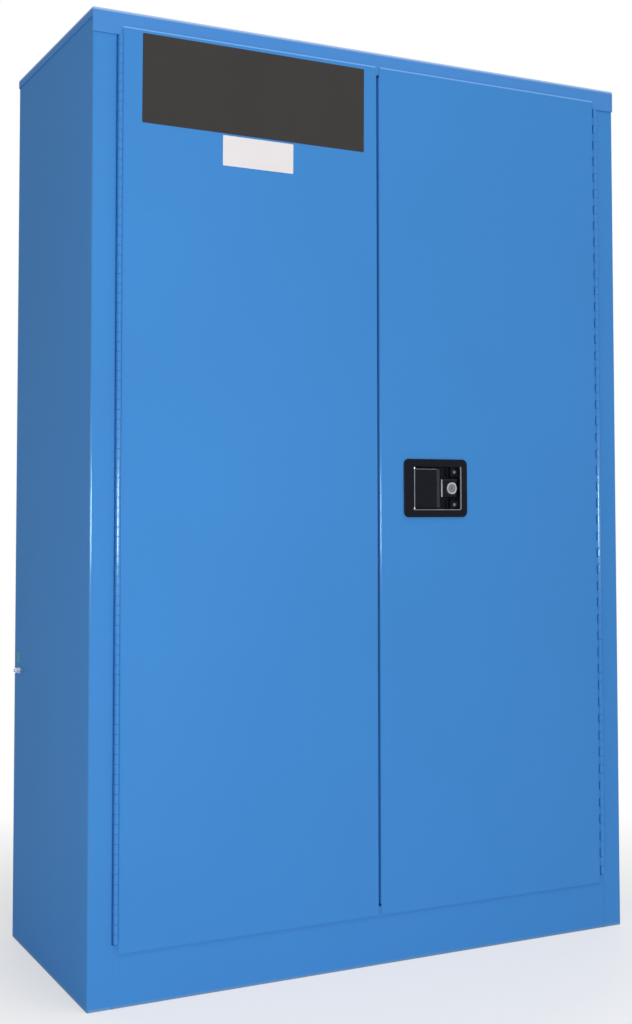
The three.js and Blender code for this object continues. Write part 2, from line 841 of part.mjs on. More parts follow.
function shelf(name, number) {
  const z0 = shelfBottom(number);
  const z1 = z0 + shelfFlange;
  return part(name, lid(-shelfHalf, shelfHalf, shelfFront, shelfRear, z0, z1, sheet), galvanised);
}

function shelfTray(name, number) {
  const z0 = shelfBottom(number) + shelfFlange + seam;
  const half = shelfHalf - trayInset;
  const y0 = shelfFront + trayInset;
  const y1 = shelfRear - trayInset;
  return part(name, tray(-half, half, y0, y1, z0, z0 + trayHeight, trayWall), polyethylene);
}

function sumpTray() {
  const half = shelfHalf - trayInset;
  const y0 = innerEdge + sumpTrayInset;
  const y1 = backLinerFace - sumpTrayInset;
  const z0 = sumpFloor + sheet + seam;
  return part('sump_tray', tray(-half, half, y0, y1, z0, z0 + sumpTrayHeight, trayWall), polyethylene);
}

// Vents

function ventPlaces() {
  const x = linerFace - ventInset;
  return [[x, ventAboveFloor], [-x, cabinetHeight - ventBelowTop]];
}

function ventHoles(y0, y1) {
  return joined(ventPlaces().map(([x, z]) => (
    bar(ventTubeRadius + seam, ventSides, x, z, y0 - overrun, y1 + overrun))));
}

function ventFitting(name) {
  const flangeRear = backPanelRear + seam + ventFlangeSheet;
  const ledge = backLinerFace + screenSetback;
  const tube = bar(ventTubeRadius, ventSides, 0, 0, backLinerFace, flangeRear);
  const flange = bar(ventFlangeRadius, ventSides, 0, 0, backPanelRear + seam, flangeRear);
  const narrow = bar(ventBoreRadius - screenLedge, ventSides, 0, 0, backLinerFace - overrun, ledge + overrun);
  const wide = bar(ventBoreRadius, ventSides, 0, 0, ledge, flangeRear + overrun);
  return part(name, tube.add(flange).subtract(narrow).subtract(wide), galvanised);
}

function ventScreen(name) {
  const y0 = backLinerFace + screenSetback + seam;
  return part(name, bar(ventBoreRadius - seam, ventSides, 0, 0, y0, y0 + screenSheet), brass);
}

function ventCap(name) {
  const face = backPanelRear + ventFlangeSheet + 2 * seam;
  const rear = face + ventCapRim;
  const shank = bar(ventBoreRadius - seam, ventSides, 0, 0, face - ventCapShank, rear);
  const rim = bar(ventCapRadius, ventSides, 0, 0, face, rear);
  const key = bar(ventCapKeyRadius, ventCapKeySides, 0, 0, face, rear + ventCapKeyReach);
  return part(name, shank.add(rim).add(key), galvanised);
}

// Ground stud, built along Y and turned to stand out of the left side

function groundStud() {
  return part('ground_stud', bar(studRadius, studSides, 0, 0, 0, studReach), zinc);
}

function groundNut() {
  const hexagon = bar(nutRadius, nutSides, 0, 0, seam, seam + nutThickness);
  const bore = bar(studRadius + seam, studSides, 0, 0, -overrun, nutThickness + overrun);
  return part('ground_nut', hexagon.subtract(bore), zinc);
}

// Assembly

function addPairs(group, original, leftName, rightName) {
  original.name = leftName;
  group.add(original, mirroredPart(rightName, original));
}

function shell() {
  const group = new THREE.Group();
  group.add(topCap(), backPanel(), frontSill(), basePan(), headerChannel());
  group.add(backLiner(), topLiner(), sumpPan());
  addPairs(group, leftSidePanel(), 'left_side_panel', 'right_side_panel');
  addPairs(group, leftLiner(), 'left_liner', 'right_liner');
  return group;
}

function storage() {
  const group = new THREE.Group();
  const frontY = shelfFront + standardInset;
  const rearY = shelfRear - standardInset;
  addPairs(group, shelfStandard('', frontY), 'left_front_standard', 'right_front_standard');
  addPairs(group, shelfStandard('', rearY), 'left_rear_standard', 'right_rear_standard');
  shelfNames.forEach((level, index) => {
    const number = shelfSlotNumbers[index];
    const front = shelfClip('', -standardFace, frontY, number);
    const rear = shelfClip('', -standardFace, rearY, number);
    addPairs(group, front, `${level}_left_front_clip`, `${level}_right_front_clip`);
    addPairs(group, rear, `${level}_left_rear_clip`, `${level}_right_rear_clip`);
    group.add(shelf(`${level}_shelf`, number), shelfTray(`${level}_tray`, number));
  });
  group.add(sumpTray());
  return group;
}

function vents() {
  const group = new THREE.Group();
  ['low', 'high'].forEach((level, index) => {
    const [x, z] = ventPlaces()[index];
    const vent = new THREE.Group();
    vent.position.set(x, 0, z);
    vent.add(ventFitting(`${level}_vent_fitting`));
    vent.add(ventScreen(`${level}_vent_screen`));
    vent.add(ventCap(`${level}_vent_cap`));
    group.add(vent);
  });
  return group;
}

function ground() {
  const group = new THREE.Group();
  group.position.set(-shellHalfWidth, shellHalfDepth - studFromBack, studHeight);
  group.rotation.z = Math.PI / 2;
  group.add(groundStud(), groundNut());
  return group;
}

function leftDoor() {
  const group = new THREE.Group();
  group.position.set(-hingeAxis, doorFace, 0);
  group.add(frameLeaf(), doorLeaf(), leftDoorSkin(), leftDoorPan());
  group.add(edgeBolt('left_top_bolt', doorTop, -1), edgeBolt('left_bottom_bolt', doorBottom, 1));
  group.add(edgeBoltGuide('left_top_bolt_guide', doorTop - edgeGuideSetback - guideHeight));
  group.add(edgeBoltGuide('left_bottom_bolt_guide', doorBottom + edgeGuideSetback));
  return group;
}

function rightDoor() {
  const group = new THREE.Group();
  group.position.set(hingeAxis, doorFace, 0);
  const pieces = {
    right_frame_leaf: frameLeaf(),
    right_door_leaf: doorLeaf(),
    right_door_skin: rightDoorSkin(),
    right_door_pan: rightDoorPan(),
    handle_dish: handleDish(),
    paddle: paddle(),
    paddle_pin: paddlePin(),
    lock_barrel: lockBarrel(),
    lock_plug: lockPlug(),
    latch_wheel: latchWheel(),
    top_latch_rod: latchRod(topRodAcross, handleHeight + crankRise, openingTop - latchStandoff, 1),
    bottom_latch_rod: latchRod(bottomRodAcross, handleHeight - crankRise, sillHeight + latchStandoff, -1),
    centre_latch_bolt: centreBolt(),
    top_rod_guide: rodGuide(topRodAcross, doorTop - guideSetback - guideHeight),
    bottom_rod_guide: rodGuide(bottomRodAcross, doorBottom + guideSetback),
  };
  Object.entries(pieces).forEach(([name, piece]) => group.add(mirroredPart(name, piece)));
  return group;
}

const cabinet = new THREE.Group();
cabinet.add(shell(), storage(), vents(), ground(), leftDoor(), rightDoor());

export default cabinet;
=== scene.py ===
import json
import math

import bmesh
import bpy
from mathutils import Matrix, Vector


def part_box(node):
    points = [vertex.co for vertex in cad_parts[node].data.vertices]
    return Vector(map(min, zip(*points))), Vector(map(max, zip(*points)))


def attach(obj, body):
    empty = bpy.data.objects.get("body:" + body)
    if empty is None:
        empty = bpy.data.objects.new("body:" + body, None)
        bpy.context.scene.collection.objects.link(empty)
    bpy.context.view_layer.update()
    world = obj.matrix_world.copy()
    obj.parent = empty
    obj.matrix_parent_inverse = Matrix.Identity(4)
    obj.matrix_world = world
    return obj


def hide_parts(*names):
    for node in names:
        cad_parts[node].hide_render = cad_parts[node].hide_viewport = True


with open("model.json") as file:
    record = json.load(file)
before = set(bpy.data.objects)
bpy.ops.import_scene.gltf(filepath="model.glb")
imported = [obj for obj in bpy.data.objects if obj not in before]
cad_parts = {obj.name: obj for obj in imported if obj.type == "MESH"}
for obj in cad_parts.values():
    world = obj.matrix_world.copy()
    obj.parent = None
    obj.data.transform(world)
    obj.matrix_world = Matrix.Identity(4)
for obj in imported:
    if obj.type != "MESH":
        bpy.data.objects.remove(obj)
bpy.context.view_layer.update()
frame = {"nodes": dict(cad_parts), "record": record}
nodes = frame["nodes"]

# Sizes are in metres
MM = 0.001
NEAR = 0.1 * MM
X, Y, Z = 0, 1, 2

# The photograph's camera, solved from the shell's edges
PHOTO_WIDTH, PHOTO_HEIGHT = 632, 1024
FOCAL_PIXELS = 1388.6
PRINCIPAL_X, PRINCIPAL_Y = 285.02, 442.01
SENSOR = 36.0
YAW, PITCH = 0.45728, 0.04695
EYE = Vector((-1.26416, -2.41361, 0.81574))


def add_camera():
    right = Vector((math.cos(YAW), -math.sin(YAW), 0))
    forward = Vector((math.sin(YAW) * math.cos(PITCH), math.cos(YAW) * math.cos(PITCH), math.sin(PITCH)))
    up = right.cross(forward)
    data = bpy.data.cameras.new("camera")
    data.sensor_width = SENSOR
    data.lens = FOCAL_PIXELS * SENSOR / PHOTO_HEIGHT
    data.shift_x = (PHOTO_WIDTH / 2 - PRINCIPAL_X) / PHOTO_HEIGHT
    data.shift_y = (PRINCIPAL_Y - PHOTO_HEIGHT / 2) / PHOTO_HEIGHT
    camera = bpy.data.objects.new("camera", data)
    turn = Matrix((right, up, -forward)).transposed()
    camera.matrix_world = Matrix.Translation(EYE) @ turn.to_4x4()
    bpy.context.scene.collection.objects.link(camera)
    bpy.context.scene.camera = camera


# Colours and node trees

WHITE = (1.0, 1.0, 1.0, 1.0)
# The span that holds most of a noise texture's values
NOISE_LOW, NOISE_HIGH = 0.3, 0.7
# The mix node's share, its two colours and its result, by number because their names repeat
MIX_SHARE, MIX_FIRST, MIX_SECOND, MIX_RESULT = 0, 6, 7, 2


def srgb(red, green, blue):
    """The linear colour of an 8-bit sRGB one, by that standard's curve."""
    def linear(value):
        share = value / 255
        return share / 12.92 if share <= 0.04045 else ((share + 0.055) / 1.055) ** 2.4
    return (linear(red), linear(green), linear(blue), 1.0)


def scaled(colour, factor):
    return tuple(channel * factor for channel in colour[:3]) + (1.0,)


class Shader:
    """A material's node tree, with short calls for the nodes that the finishes share."""

    def __init__(self, name):
        self.material = bpy.data.materials.new(name)
        self.material.use_nodes = True
        self.tree = self.material.node_tree
        self.surface = self.tree.nodes["Principled BSDF"]
        self.place = self.node("ShaderNodeTexCoord").outputs["Object"]

    def node(self, kind, **settings):
        made = self.tree.nodes.new(kind)
        for key, value in settings.items():
            setattr(made, key, value)
        return made

    def link(self, output, target):
        self.tree.links.new(output, target)

    def give(self, socket, value):
        """Links a socket to value, or sets it where value is a number or a colour."""
        if isinstance(value, bpy.types.NodeSocket):
            self.link(value, socket)
        else:
            socket.default_value = value

    def stretched(self, x, y, z):
        mapping = self.node("ShaderNodeMapping")
        mapping.inputs["Scale"].default_value = (x, y, z)
        self.link(self.place, mapping.inputs["Vector"])
        return mapping.outputs["Vector"]

    def noise(self, scale, detail=2.0, roughness=0.5, place=None):
        made = self.node("ShaderNodeTexNoise")
        made.inputs["Scale"].default_value = scale
        made.inputs["Detail"].default_value = detail
        made.inputs["Roughness"].default_value = roughness
        self.link(place or self.place, made.inputs["Vector"])
        return made.outputs["Fac"]

    def ranged(self, value, low, high, to_low, to_high):
        made = self.node("ShaderNodeMapRange")
        limits = {"From Min": low, "From Max": high, "To Min": to_low, "To Max": to_high}
        for socket, number in limits.items():
            made.inputs[socket].default_value = number
        self.link(value, made.inputs["Value"])
        return made.outputs["Result"]

    def spread(self, noise, low=0.0, high=1.0):
        """A noise's usual span, stretched to run from low to high."""
        return self.ranged(noise, NOISE_LOW, NOISE_HIGH, low, high)

    def by_height(self, start, full):
        """0 up to the height start and 1 from the height full on."""
        parts = self.node("ShaderNodeSeparateXYZ")
        self.link(self.place, parts.inputs[0])
        return self.ranged(parts.outputs["Z"], start, full, 0.0, 1.0)

    def multiplied(self, first, second):
        made = self.node("ShaderNodeMath", operation="MULTIPLY")
        self.link(first, made.inputs[0])
        self.link(second, made.inputs[1])
        return made.outputs[0]

    def mixed(self, share, first, second):
        """Colour first where share is 0 and second where it is 1. Each is a colour or a socket."""
        made = self.node("ShaderNodeMix", data_type="RGBA")
        self.link(share, made.inputs[MIX_SHARE])
        self.give(made.inputs[MIX_FIRST], first)
        self.give(made.inputs[MIX_SECOND], second)
        return made.outputs[MIX_RESULT]

    def varied(self, share, colour, darker, lighter):
        """The colour times a factor between darker and lighter."""
        return self.mixed(share, scaled(colour, darker), scaled(colour, lighter))

    def bump(self, height, strength, distance, under=None):
        made = self.node("ShaderNodeBump")
        made.inputs["Strength"].default_value = strength
        made.inputs["Distance"].default_value = distance
        self.link(height, made.inputs["Height"])
        if under:
            self.link(under, made.inputs["Normal"])
        return made.outputs["Normal"]

    def set(self, **values):
        """Sets the surface's inputs, each by its name in lower case, and returns the material."""
        for key, value in values.items():
            name = key.replace("_", " ").title().replace("Ior", "IOR")
            self.give(self.surface.inputs[name], value)
        return self.material


# Finishes

BLUE = srgb(68, 138, 207)
# Between two heights, where the front lamp's glint falls, the paint is glossier so that it shows a painted-in
# glint; this fades over a third length
GLINT_LOW, GLINT_HIGH, GLINT_FADE = 0.6, 1.02, 0.15
# The painted glint's tint, and the specular level outside and inside the glint band
GLINT = srgb(208, 250, 255)
OFF_GLINT_LEVEL, GLINT_LEVEL = 0.06, 0.5
PEEL, FINE_PEEL = 0.16, 0.1
# Rounded edges are painted this much paler, as a painted highlight
EDGE_HIGHLIGHT = 1.25
# How far the zinc crystals' borders wander
CRYSTAL_WARP = 6 * MM


def cloudy(shader, colour):
    """Paint's slightly uneven tone."""
    cloud = shader.spread(shader.noise(scale=2.2, detail=3.0))
    return shader.varied(cloud, colour, darker=0.975, lighter=1.02)


def orange_peel(shader, peel):
    """Paint's small dimples over the sheet's slight waves."""
    skin = shader.bump(shader.noise(scale=330.0, detail=1.0), strength=peel, distance=0.25 * MM)
    return shader.bump(shader.noise(scale=7.0, detail=1.0), strength=0.12, distance=2 * MM, under=skin)


def powder_coat(name, colour, peel=PEEL, highlight_band=None):
    """Sprayed paint. The optional band is a painted highlight: a paler colour, with the heights where it
    starts and where it is full.
    """
    shader = Shader(name)
    tone = cloudy(shader, colour)
    if highlight_band:
        highlight_colour, start, full = highlight_band
        tone = shader.mixed(shader.by_height(start, full), tone, highlight_colour)
    skin = orange_peel(shader, peel)
    return shader.set(base_color=tone, normal=skin, specular_ior_level=0.0,
                      coat_weight=0.12, coat_roughness=0.26, coat_ior=1.5, coat_normal=skin)


def glint_band_paint(name, colour, ior):
    """Paint that glints, in a painted tint of its own, only in the height band where the front lamp's glint
    falls: a painted-in glint.
    """
    shader = Shader(name)
    in_glint_band = shader.multiplied(shader.by_height(GLINT_LOW, GLINT_LOW + GLINT_FADE),
                                shader.by_height(GLINT_HIGH, GLINT_HIGH - GLINT_FADE))
    level = shader.ranged(in_glint_band, 0.0, 1.0, OFF_GLINT_LEVEL, GLINT_LEVEL)
    return shader.set(base_color=cloudy(shader, colour), normal=orange_peel(shader, FINE_PEEL),
                      roughness=0.1, ior=ior, specular_ior_level=level, specular_tint=GLINT)


def bare_metal(name, colour, rough, grain=(1, 1, 1), scratch=0.25):
    """Bright metal with drawn grain along the piece and small scratches."""
    shader = Shader(name)
    drawn = shader.noise(scale=60.0, detail=4.0, roughness=0.6, place=shader.stretched(*grain))
    tone = shader.varied(shader.spread(drawn), colour, darker=0.88, lighter=1.06)
    scratches = shader.bump(shader.noise(scale=900.0), strength=scratch, distance=0.08 * MM)
    return shader.set(base_color=tone, metallic=1.0, roughness=shader.spread(drawn, *rough),
                      normal=scratches)


def spangled(name, colour, rough):
    """Galvanised sheet, whose zinc crystals differ a little in tone and gloss."""
    shader = Shader(name)
    shifted = shader.node("ShaderNodeVectorMath", operation="MULTIPLY_ADD")
    shader.link(shader.noise(scale=45.0), shifted.inputs[0])
    shifted.inputs[1].default_value = (CRYSTAL_WARP, CRYSTAL_WARP, CRYSTAL_WARP)
    shader.link(shader.place, shifted.inputs[2])
    crystals = shader.node("ShaderNodeTexVoronoi")
    crystals.inputs["Scale"].default_value = 95.0
    shader.link(shifted.outputs[0], crystals.inputs["Vector"])
    value = shader.node("ShaderNodeSeparateColor")
    shader.link(crystals.outputs["Color"], value.inputs[0])
    tone = shader.varied(value.outputs[0], colour, darker=0.82, lighter=1.08)
    gloss = shader.ranged(value.outputs[1], 0.0, 1.0, *rough)
    relief = shader.bump(value.outputs[0], strength=0.08, distance=0.2 * MM)
    return shader.set(base_color=tone, metallic=0.9, roughness=gloss, normal=relief)


def moulded(name, colour, rough, grain_scale, grain_strength, gloss_level=0.5):
    """Moulded plastic or bare vinyl: a fine grain and uneven gloss."""
    shader = Shader(name)
    cloud = shader.spread(shader.noise(scale=5.0, detail=3.0))
    tone = shader.varied(cloud, colour, darker=0.96, lighter=1.03)
    gloss = shader.spread(shader.noise(scale=16.0, detail=4.0), *rough)
    grain = shader.bump(shader.noise(scale=grain_scale), strength=grain_strength, distance=0.2 * MM)
    return shader.set(base_color=tone, roughness=gloss, normal=grain, specular_ior_level=gloss_level)


def bare_vinyl(name, colour, rough, grain_strength=0.05, gloss_level=0.25):
    return moulded(name, colour, rough, grain_scale=500.0, grain_strength=grain_strength,
                   gloss_level=gloss_level)


def black_enamel(name, colour, rough):
    """Baked enamel, or its paler copies that stand as painted highlights on edges and faces."""
    shader = Shader(name)
    cloud = shader.spread(shader.noise(scale=40.0, detail=3.0))
    tone = shader.varied(cloud, colour, darker=0.85, lighter=1.1)
    gloss = shader.spread(shader.noise(scale=55.0, detail=4.0), *rough)
    skin = shader.bump(shader.noise(scale=700.0, detail=1.0), strength=0.1, distance=0.1 * MM)
    return shader.set(base_color=tone, roughness=gloss, normal=skin, specular_ior_level=0.1)


finishes = {
    "blue_paint": powder_coat("blue_paint", BLUE),
    "white_paint": powder_coat("white_paint", srgb(226, 229, 231)),
    "black_paint": black_enamel("black_paint", srgb(17, 19, 28), (0.2, 0.3)),
    "galvanised_steel": spangled("galvanised_steel", srgb(172, 176, 180), (0.46, 0.62)),
    "zinc_plate": bare_metal("zinc_plate", srgb(206, 208, 212), (0.24, 0.36), grain=(1, 1, 0.15)),
    "chrome_plate": bare_metal("chrome_plate", srgb(178, 180, 184), (0.1, 0.2), scratch=0.12),
    "polyethylene": moulded("polyethylene", srgb(222, 226, 227), (0.42, 0.6), grain_scale=260.0,
                            grain_strength=0.15),
    "brass": bare_metal("brass", srgb(190, 150, 84), (0.22, 0.36), grain=(1, 0.2, 1)),
}

# Paint on bends and edges, with painted highlights: a painted glint band on the hinges and the doors' meeting
# bends, paler rounded edges, and pale painted highlight bands on the cap, the door lips and the panels' foot
hinge_glint_paint = glint_band_paint("hinge_glint_paint", BLUE, ior=1.75)
meeting_glint_paint = glint_band_paint("meeting_glint_paint", BLUE, ior=1.48)
edge_highlight_paint = powder_coat("edge_highlight_paint", scaled(BLUE, EDGE_HIGHLIGHT), peel=FINE_PEEL)
CAP_TOP, LIP_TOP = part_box("top_cap")[1].z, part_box("left_door_skin")[1].z
# The cap is painted a little lighter than the doors, as its light falls, with a pale painted highlight band
# along its top edge
cap_highlight_paint = powder_coat("cap_highlight_paint", srgb(78, 141, 211),
                        highlight_band=(srgb(162, 192, 232), CAP_TOP - 5.6 * MM, CAP_TOP - 2.6 * MM))
# The doors' fronts get a pale painted highlight band along their top lip
lip_highlight_paint = powder_coat("lip_highlight_paint", BLUE,
                        highlight_band=(srgb(122, 176, 238), LIP_TOP - 3.6 * MM, LIP_TOP - 1.6 * MM))
# The sill and the side panels get a pale painted highlight band just above the floor
foot_highlight_paint = powder_coat("foot_highlight_paint", BLUE, highlight_band=(srgb(118, 152, 186), 6.0 * MM, 1.0 * MM))

# The handle's painted highlights in paler enamels on its edges, faces and screws, the lock plug's darker
# chrome, the dull ground stud and the bare labels
pale_highlight_enamel = black_enamel("pale_highlight_enamel", srgb(132, 135, 144), (0.25, 0.4))
faint_highlight_enamel = black_enamel("faint_highlight_enamel", srgb(45, 48, 58), (0.25, 0.35))
bright_highlight_enamel = black_enamel("bright_highlight_enamel", srgb(182, 185, 194), (0.25, 0.4))
darker_chrome = bare_metal("darker_chrome", srgb(128, 130, 135), (0.22, 0.34), scratch=0.3)
dull_zinc = bare_metal("dull_zinc", srgb(236, 240, 246), (0.45, 0.6))
sign_vinyl = bare_vinyl("sign_vinyl", srgb(50, 47, 46), (0.3, 0.42), grain_strength=0.06)
label_vinyl = bare_vinyl("label_vinyl", srgb(234, 228, 229), (0.35, 0.5))
green_vinyl = bare_vinyl("green_vinyl", srgb(72, 154, 170), (0.4, 0.55), gloss_level=0.03)


# Pieces

# An edge is sharp, or a face flat beside the next, by the angle between the faces
SHARP = math.radians(33)
FLAT = math.radians(0.6)
MERGE = 0.01 * MM
ROUND_PROFILE = 0.5
EDGE_STEPS, WIDE_STEPS = 2, 4

slots = {entry["node"]: entry["material_slot"] for entry in frame["record"]["subparts"]}
boxes = {node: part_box(node) for node in nodes}
body_of = {node: body for body, members in frame["record"]["behaviour"]["bodies"].items() for node in members}


def add_piece(name, mesh_data, body, slot, material=None, replaced=(), others=()):
    """A piece in its slot's finish, or in material. Its faces may use the others too, by their place."""
    piece = bpy.data.objects.new(name, mesh_data)
    bpy.context.scene.collection.objects.link(piece)
    for finish in (material or finishes[slot],) + tuple(others):
        mesh_data.materials.append(finish)
    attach(piece, body)
    if replaced:
        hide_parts(*replaced)
    return piece


def weigh_normals(piece):
    """Flat faces keep their own shading beside rounded edges."""
    weighted = piece.modifiers.new("weighted_normals", "WEIGHTED_NORMAL")
    weighted.mode = "FACE_AREA"
    weighted.keep_sharp = True


def finished(name, bm, smooth=True):
    """A mesh from bm, smooth but for its sharp edges."""
    bmesh.ops.recalc_face_normals(bm, faces=bm.faces)
    data = bpy.data.meshes.new(name)
    bm.to_mesh(data)
    bm.free()
    if smooth:
        data.shade_smooth()
        data.set_sharp_from_angle(angle=SHARP)
    return data


def extruded(bm, ring, offset):
    """Closes a ring of points, pulls a copy of it out by offset, and returns the copy's points."""
    face = bm.faces.new(ring)
    grown = bmesh.ops.extrude_face_region(bm, geom=[face])
    moved = [item for item in grown["geom"] if isinstance(item, bmesh.types.BMVert)]
    bmesh.ops.translate(bm, verts=moved, vec=offset)
    return moved


def add_slab(bm, low, high):
    corners = [bm.verts.new((x, y, z)) for z in (low[Z], high[Z]) for y in (low[Y], high[Y])
               for x in (low[X], high[X])]
    for quad in ((0, 2, 3, 1), (4, 5, 7, 6), (0, 1, 5, 4), (2, 6, 7, 3), (0, 4, 6, 2), (1, 3, 7, 5)):
        bm.faces.new([corners[number] for number in quad])


def add_turned(bm, profile, centre, sides, axis=Vector((0, 0, 1))):
    """A turned solid about an axis through centre, from a list of (radius, height), closed at both ends.

    A radius may be a function of the angle.
    """
    turn = Vector((0, 0, 1)).rotation_difference(axis)
    rings = []
    for radius, height in profile:
        ring = []
        for step in range(sides):
            angle = 2 * math.pi * step / sides
            reach = radius(angle) if callable(radius) else radius
            point = Vector((reach * math.cos(angle), reach * math.sin(angle), height))
            ring.append(bm.verts.new(centre + turn @ point))
        rings.append(ring)
    for low, high in zip(rings, rings[1:]):
        for step in range(sides):
            after = (step + 1) % sides
            bm.faces.new((low[step], low[after], high[after], high[step]))
    bm.faces.new(list(reversed(rings[0])))
    bm.faces.new(rings[-1])


def add_turned_piece(name, profile, centre, axis, body, slot, material, sides=24):
    bm = bmesh.new()
    add_turned(bm, profile, centre, sides, axis)
    add_piece(name, finished(name, bm), body, slot, material)


def hexagon(radius):
    """The reach of a hexagon's outline at each angle."""
    def reach(angle):
        return radius / math.cos((angle + math.pi / 6) % (math.pi / 3) - math.pi / 6)
    return reach


# Edges and faces of the shell

LIP_SHEET = 1.5 * MM
CAP_CORNER = 3 * MM
MEETING_REACH = 12 * MM
# Shares of a face's normal along an axis
SLIGHT, TURNED, LEANING, SQUARE, SIDEWAYS = 0.1, 0.15, 0.3, 0.9, 0.99


def lies_at(edge, axis, place):
    return all(abs(vert.co[axis] - place) < NEAR / 2 for vert in edge.verts)


def middle_of(edge):
    return (edge.verts[0].co + edge.verts[1].co) / 2


def on_cap_top(edge):
    """The cap's outer top edges, which are bends in the real sheet."""
    high = boxes["top_cap"][1]
    middle = middle_of(edge)
    inward = max(abs(middle.x) - high.x, abs(middle.y) - high.y)
    return lies_at(edge, Z, high.z) and inward > -CAP_CORNER


def on_lip_front(edge):
    """The front edge of a door's top lip, round to its sides."""
    low, high = boxes["left_door_skin"]
    return lies_at(edge, Z, high.z) and min(vert.co.y for vert in edge.verts) < low.y + LIP_SHEET - NEAR


def stands(face):
    """A face that isn't level: a panel's outside and its bends."""
    return abs(face.normal.z) < SQUARE


def is_upright_bend(face):
    """The rounded corner between a panel's front and its side."""
    normal = face.normal
    return TURNED < abs(normal.x) < SIDEWAYS and normal.y < -SLIGHT and abs(normal.z) < SLIGHT


def is_meeting_bend(face):
    """The doors' bends where they meet."""
    return is_upright_bend(face) and abs(face.calc_center_median().x) < MEETING_REACH


def faces_forward(face):
    """A door's front with its bends."""
    return stands(face) and face.normal.y < -LEANING


# Edges and faces of the handle: the dish's recess and lock block as its mesh has them, and the paddle

RECESS_LOW, RECESS_HIGH = Vector((0.0707, 0, 0.812)), Vector((0.1737, 0, 0.890))
BLOCK_LOW, BLOCK_HIGH = Vector((0.133, 0, 0.8345)), Vector((0.167, 0, 0.8675))
BEZEL_FRONT = boxes["handle_dish"][0].y
BLOCK_FRONT = BEZEL_FRONT + 2 * MM
RIM_ROUND = 2.4 * MM
FULL_FRONT = 0.98
SLOPE_FRONT, SLOPE_TILT, SLOPE_AREA = 0.75, 0.05, 10 * MM * MM
HUB_SIDE, HUB_FRONT, HUB_STRIP = 0.2, 0.55, 3 * MM


def within(point, low, high, margin=NEAR):
    """Whether a point lies inside two corners, as seen from the front."""
    return all(low[axis] - margin < point[axis] < high[axis] + margin for axis in (X, Z))


def on_bezel_front(edge):
    return lies_at(edge, Y, BEZEL_FRONT)


def on_recess_rim(edge):
    return on_bezel_front(edge) and all(within(vert.co, RECESS_LOW, RECESS_HIGH) for vert in edge.verts)


def on_bezel_rim(edge):
    return on_bezel_front(edge) and not on_recess_rim(edge)


def on_block_rim(edge):
    """The lock block's four front edges, without the lock's round."""
    middle = middle_of(edge)
    reach = min(abs(middle[axis] - corner[axis]) for corner in (BLOCK_LOW, BLOCK_HIGH) for axis in (X, Z))
    inside = all(within(vert.co, BLOCK_LOW, BLOCK_HIGH) for vert in edge.verts)
    return lies_at(edge, Y, BLOCK_FRONT) and reach < NEAR and inside


def turns_forward(face):
    return -FULL_FRONT < face.normal.y < -TURNED


def is_highlighted_rim(face):
    """The recess's far side and bottom rim, painted as a highlight."""
    centre = face.calc_center_median()
    near = centre.y < BEZEL_FRONT + RIM_ROUND + NEAR
    inside = within(centre, RECESS_LOW, RECESS_HIGH, 2 * RIM_ROUND)
    rubbed = face.normal.x < -TURNED or face.normal.z > TURNED
    return near and inside and turns_forward(face) and rubbed


def is_on_block(face):
    centre = face.calc_center_median()
    deep = BLOCK_FRONT < centre.y < BLOCK_FRONT + RIM_ROUND
    return within(centre, BLOCK_LOW, BLOCK_HIGH) and deep and turns_forward(face)


def is_block_side(face):
    return is_on_block(face) and face.normal.x < -TURNED


def is_block_top(face):
    return is_on_block(face) and face.normal.z > TURNED and abs(face.normal.x) < TURNED


def on_paddle_top(edge):
    low, high = boxes["paddle"]
    return lies_at(edge, Z, high.z) and lies_at(edge, Y, low.y)


def on_paddle_slope(face):
    """The finger end's slope."""
    normal = face.normal
    leans = normal.x > LEANING and normal.y < -SLOPE_FRONT and abs(normal.z) < SLOPE_TILT
    return leans and face.calc_area() > SLOPE_AREA


def on_paddle_hub(face):
    """The strip of the hub that faces front and left, painted as a highlight."""
    reach = boxes["paddle"][0].x + HUB_STRIP
    return face.normal.x < -HUB_SIDE and face.normal.y < -HUB_FRONT and face.calc_center_median().x < reach


def is_front(face):
    return face.normal.y < -SQUARE


# Rounded copies of the CAD's solids

# A piece's finishes by number, or the finish of the faces beside
BESIDE, MAIN, FIRST, SECOND, THIRD = -1, 0, 1, 2, 3
EDGE_ROUND = 0.3 * MM
EDGE_ROUNDS = {
    "handle_dish": 1.0 * MM, "paddle": 0.6 * MM, "lock_barrel": 0.8 * MM, "lock_plug": 0.4 * MM,
    "ground_nut": 0.5 * MM, "ground_stud": 0.5 * MM,
}
door_lip = [(on_lip_front, 1.0 * MM, BESIDE)]
WIDE_ROUNDS = {
    "top_cap": [(on_cap_top, 2.4 * MM, BESIDE)],
    "left_door_skin": door_lip, "right_door_skin": door_lip,
    "handle_dish": [(on_recess_rim, RIM_ROUND, MAIN), (on_block_rim, RIM_ROUND, MAIN),
                    (on_bezel_rim, 1.4 * MM, MAIN)],
    # The paddle's rounded top edge is painted as a highlight
    "paddle": [(on_paddle_top, 0.9 * MM, FIRST)],
}
door_faces = [(faces_forward, FIRST), (is_meeting_bend, SECOND)]
side_faces = [(stands, FIRST), (is_upright_bend, SECOND)]
OTHER_FACES = {
    "top_cap": [(stands, FIRST)], "front_sill": [(stands, FIRST)],
    "left_door_skin": door_faces, "right_door_skin": door_faces,
    "left_side_panel": side_faces, "right_side_panel": side_faces,
    # Painted highlights on the handle: the recess rim, the lock block's left side and top, the paddle's
    # lighter slope and its hub strip
    "handle_dish": [(is_highlighted_rim, FIRST), (is_block_side, THIRD), (is_block_top, SECOND)],
    "paddle": [(on_paddle_slope, SECOND), (on_paddle_hub, FIRST)],
    # The lock plug's front is a darker chrome
    "lock_plug": [(is_front, FIRST)],
}
